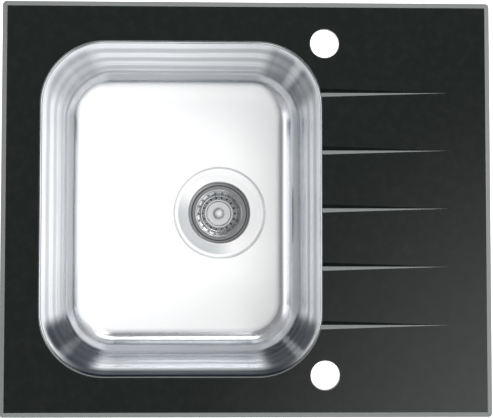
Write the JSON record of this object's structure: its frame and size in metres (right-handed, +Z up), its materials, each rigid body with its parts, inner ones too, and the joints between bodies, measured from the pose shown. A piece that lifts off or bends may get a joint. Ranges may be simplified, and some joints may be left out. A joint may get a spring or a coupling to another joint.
{
  "type": "kitchen sink",
  "caption": "Inset kitchen sink with a black glass top, a drawn steel bowl with rounded corners, ground drainer grooves, tap holes, a lift-out basket waste and screw clamps on rails beneath.",
  "frame": {"origin": "on the worktop's surface, under the middle of the glass plate", "axes": "+X from the bowl towards the drainer along the plate's long side, +Y to the back, +Z up out of the worktop"},
  "size_m": [0.59, 0.5, 0.256],
  "materials": {
    "black_glass": "toughened glass, gloss black, with a ground and polished bevel",
    "bowl_steel": "satin stainless steel",
    "polished_steel": "polished stainless steel",
    "rail_steel": "plain mill finish",
    "zinc_steel": "bright zinc plate",
    "black_rubber": "matt",
    "foam_seal": "matt closed-cell foam",
    "adhesive": "cured black silicone",
    "damping_pad": "matt bitumen sheet",
    "waste_plastic": "moulded polypropylene"
  },
  "bodies": {
    "sink": {"glass_top": "black_glass", "edge_seal": "foam_seal", "bowl": "bowl_steel", "bowl_bond": "adhesive", "floor_pad": "damping_pad", "rail_front_bowl": "rail_steel", "rail_front_drainer": "rail_steel", "rail_back_bowl": "rail_steel", "rail_back_drainer": "rail_steel", "rail_left": "rail_steel", "rail_right": "rail_steel", "rail_bond": "adhesive", "clamp_bolts": "zinc_steel", "clamp_locknuts": "zinc_steel", "strainer_seat": "polished_steel", "flange_seal": "black_rubber", "body_gasket": "black_rubber", "waste_body": "waste_plastic", "screw_bridge": "waste_plastic", "waste_screw": "polished_steel"},
    "basket": {"basket_shell": "polished_steel", "basket_seal": "black_rubber", "basket_knob": "polished_steel", "basket_stem": "polished_steel", "stem_socket": "waste_plastic"},
    "washer_front_left": {"washer_front_left": "zinc_steel"},
    "claw_front_left": {"claw_front_left": "zinc_steel"},
    "wing_nut_front_left": {"wing_nut_front_left": "zinc_steel"},
    "washer_front_right": {"washer_front_right": "zinc_steel"},
    "claw_front_right": {"claw_front_right": "zinc_steel"},
    "wing_nut_front_right": {"wing_nut_front_right": "zinc_steel"},
    "washer_right": {"washer_right": "zinc_steel"},
    "claw_right": {"claw_right": "zinc_steel"},
    "wing_nut_right": {"wing_nut_right": "zinc_steel"},
    "washer_back_right": {"washer_back_right": "zinc_steel"},
    "claw_back_right": {"claw_back_right": "zinc_steel"},
    "wing_nut_back_right": {"wing_nut_back_right": "zinc_steel"},
    "washer_back_left": {"washer_back_left": "zinc_steel"},
    "claw_back_left": {"claw_back_left": "zinc_steel"},
    "wing_nut_back_left": {"wing_nut_back_left": "zinc_steel"},
    "washer_left": {"washer_left": "zinc_steel"},
    "claw_left": {"claw_left": "zinc_steel"},
    "wing_nut_left": {"wing_nut_left": "zinc_steel"}
  },
  "joints": [
    {"name": "basket_lift", "type": "slide", "parent": "sink", "child": "basket", "axis": [0, 0, 1], "range_m": [0, 0.24]},
    {"name": "clamp_lift_front_left", "type": "slide", "parent": "sink", "child": "washer_front_left", "axis": [0, 0, 1], "range_m": [0, 0.022]},
    {"name": "nut_turn_front_left", "type": "hinge", "parent": "washer_front_left", "child": "wing_nut_front_left", "pos_m": [-0.17, -0.2235, -0.055], "axis": [0, 0, 1], "range_deg": [0, 7900]},
    {"name": "claw_swing_front_left", "type": "hinge", "parent": "washer_front_left", "child": "claw_front_left", "pos_m": [-0.17, -0.2235, -0.052], "axis": [0, 0, 1], "range_deg": [0, 90]},
    {"name": "clamp_lift_front_right", "type": "slide", "parent": "sink", "child": "washer_front_right", "axis": [0, 0, 1], "range_m": [0, 0.022]},
    {"name": "nut_turn_front_right", "type": "hinge", "parent": "washer_front_right", "child": "wing_nut_front_right", "pos_m": [0.18475, -0.2235, -0.055], "axis": [0, 0, 1], "range_deg": [0, 7900]},
    {"name": "claw_swing_front_right", "type": "hinge", "parent": "washer_front_right", "child": "claw_front_right", "pos_m": [0.18475, -0.2235, -0.052], "axis": [0, 0, 1], "range_deg": [0, 90]},
    {"name": "clamp_lift_right", "type": "slide", "parent": "sink", "child": "washer_right", "axis": [0, 0, 1], "range_m": [0, 0.022]},
    {"name": "nut_turn_right", "type": "hinge", "parent": "washer_right", "child": "wing_nut_right", "pos_m": [0.2685, 0, -0.055], "axis": [0, 0, 1], "range_deg": [0, 7900]},
    {"name": "claw_swing_right", "type": "hinge", "parent": "washer_right", "child": "claw_right", "pos_m": [0.2685, 0, -0.052], "axis": [0, 0, 1], "range_deg": [0, 90]},
    {"name": "clamp_lift_back_right", "type": "slide", "parent": "sink", "child": "washer_back_right", "axis": [0, 0, 1], "range_m": [0, 0.022]},
    {"name": "nut_turn_back_right", "type": "hinge", "parent": "washer_back_right", "child": "wing_nut_back_right", "pos_m": [0.18475, 0.2235, -0.055], "axis": [0, 0, 1], "range_deg": [0, 7900]},
    {"name": "claw_swing_back_right", "type": "hinge", "parent": "washer_back_right", "child": "claw_back_right", "pos_m": [0.18475, 0.2235, -0.052], "axis": [0, 0, 1], "range_deg": [0, 90]},
    {"name": "clamp_lift_back_left", "type": "slide", "parent": "sink", "child": "washer_back_left", "axis": [0, 0, 1], "range_m": [0, 0.022]},
    {"name": "nut_turn_back_left", "type": "hinge", "parent": "washer_back_left", "child": "wing_nut_back_left", "pos_m": [-0.17, 0.2235, -0.055], "axis": [0, 0, 1], "range_deg": [0, 7900]},
    {"name": "claw_swing_back_left", "type": "hinge", "parent": "washer_back_left", "child": "claw_back_left", "pos_m": [-0.17, 0.2235, -0.052], "axis": [0, 0, 1], "range_deg": [0, 90]},
    {"name": "clamp_lift_left", "type": "slide", "parent": "sink", "child": "washer_left", "axis": [0, 0, 1], "range_m": [0, 0.022]},
    {"name": "nut_turn_left", "type": "hinge", "parent": "washer_left", "child": "wing_nut_left", "pos_m": [-0.2685, 0, -0.055], "axis": [0, 0, 1], "range_deg": [0, 7900]},
    {"name": "claw_swing_left", "type": "hinge", "parent": "washer_left", "child": "claw_left", "pos_m": [-0.2685, 0, -0.052], "axis": [0, 0, 1], "range_deg": [0, 90]}
  ],
  "couplings": [
    {"joint": "clamp_lift_front_left", "follows": "nut_turn_front_left", "m_per_rad": 0.00015915},
    {"joint": "clamp_lift_front_right", "follows": "nut_turn_front_right", "m_per_rad": 0.00015915},
    {"joint": "clamp_lift_right", "follows": "nut_turn_right", "m_per_rad": 0.00015915},
    {"joint": "clamp_lift_back_right", "follows": "nut_turn_back_right", "m_per_rad": 0.00015915},
    {"joint": "clamp_lift_back_left", "follows": "nut_turn_back_left", "m_per_rad": 0.00015915},
    {"joint": "clamp_lift_left", "follows": "nut_turn_left", "m_per_rad": 0.00015915}
  ]
}
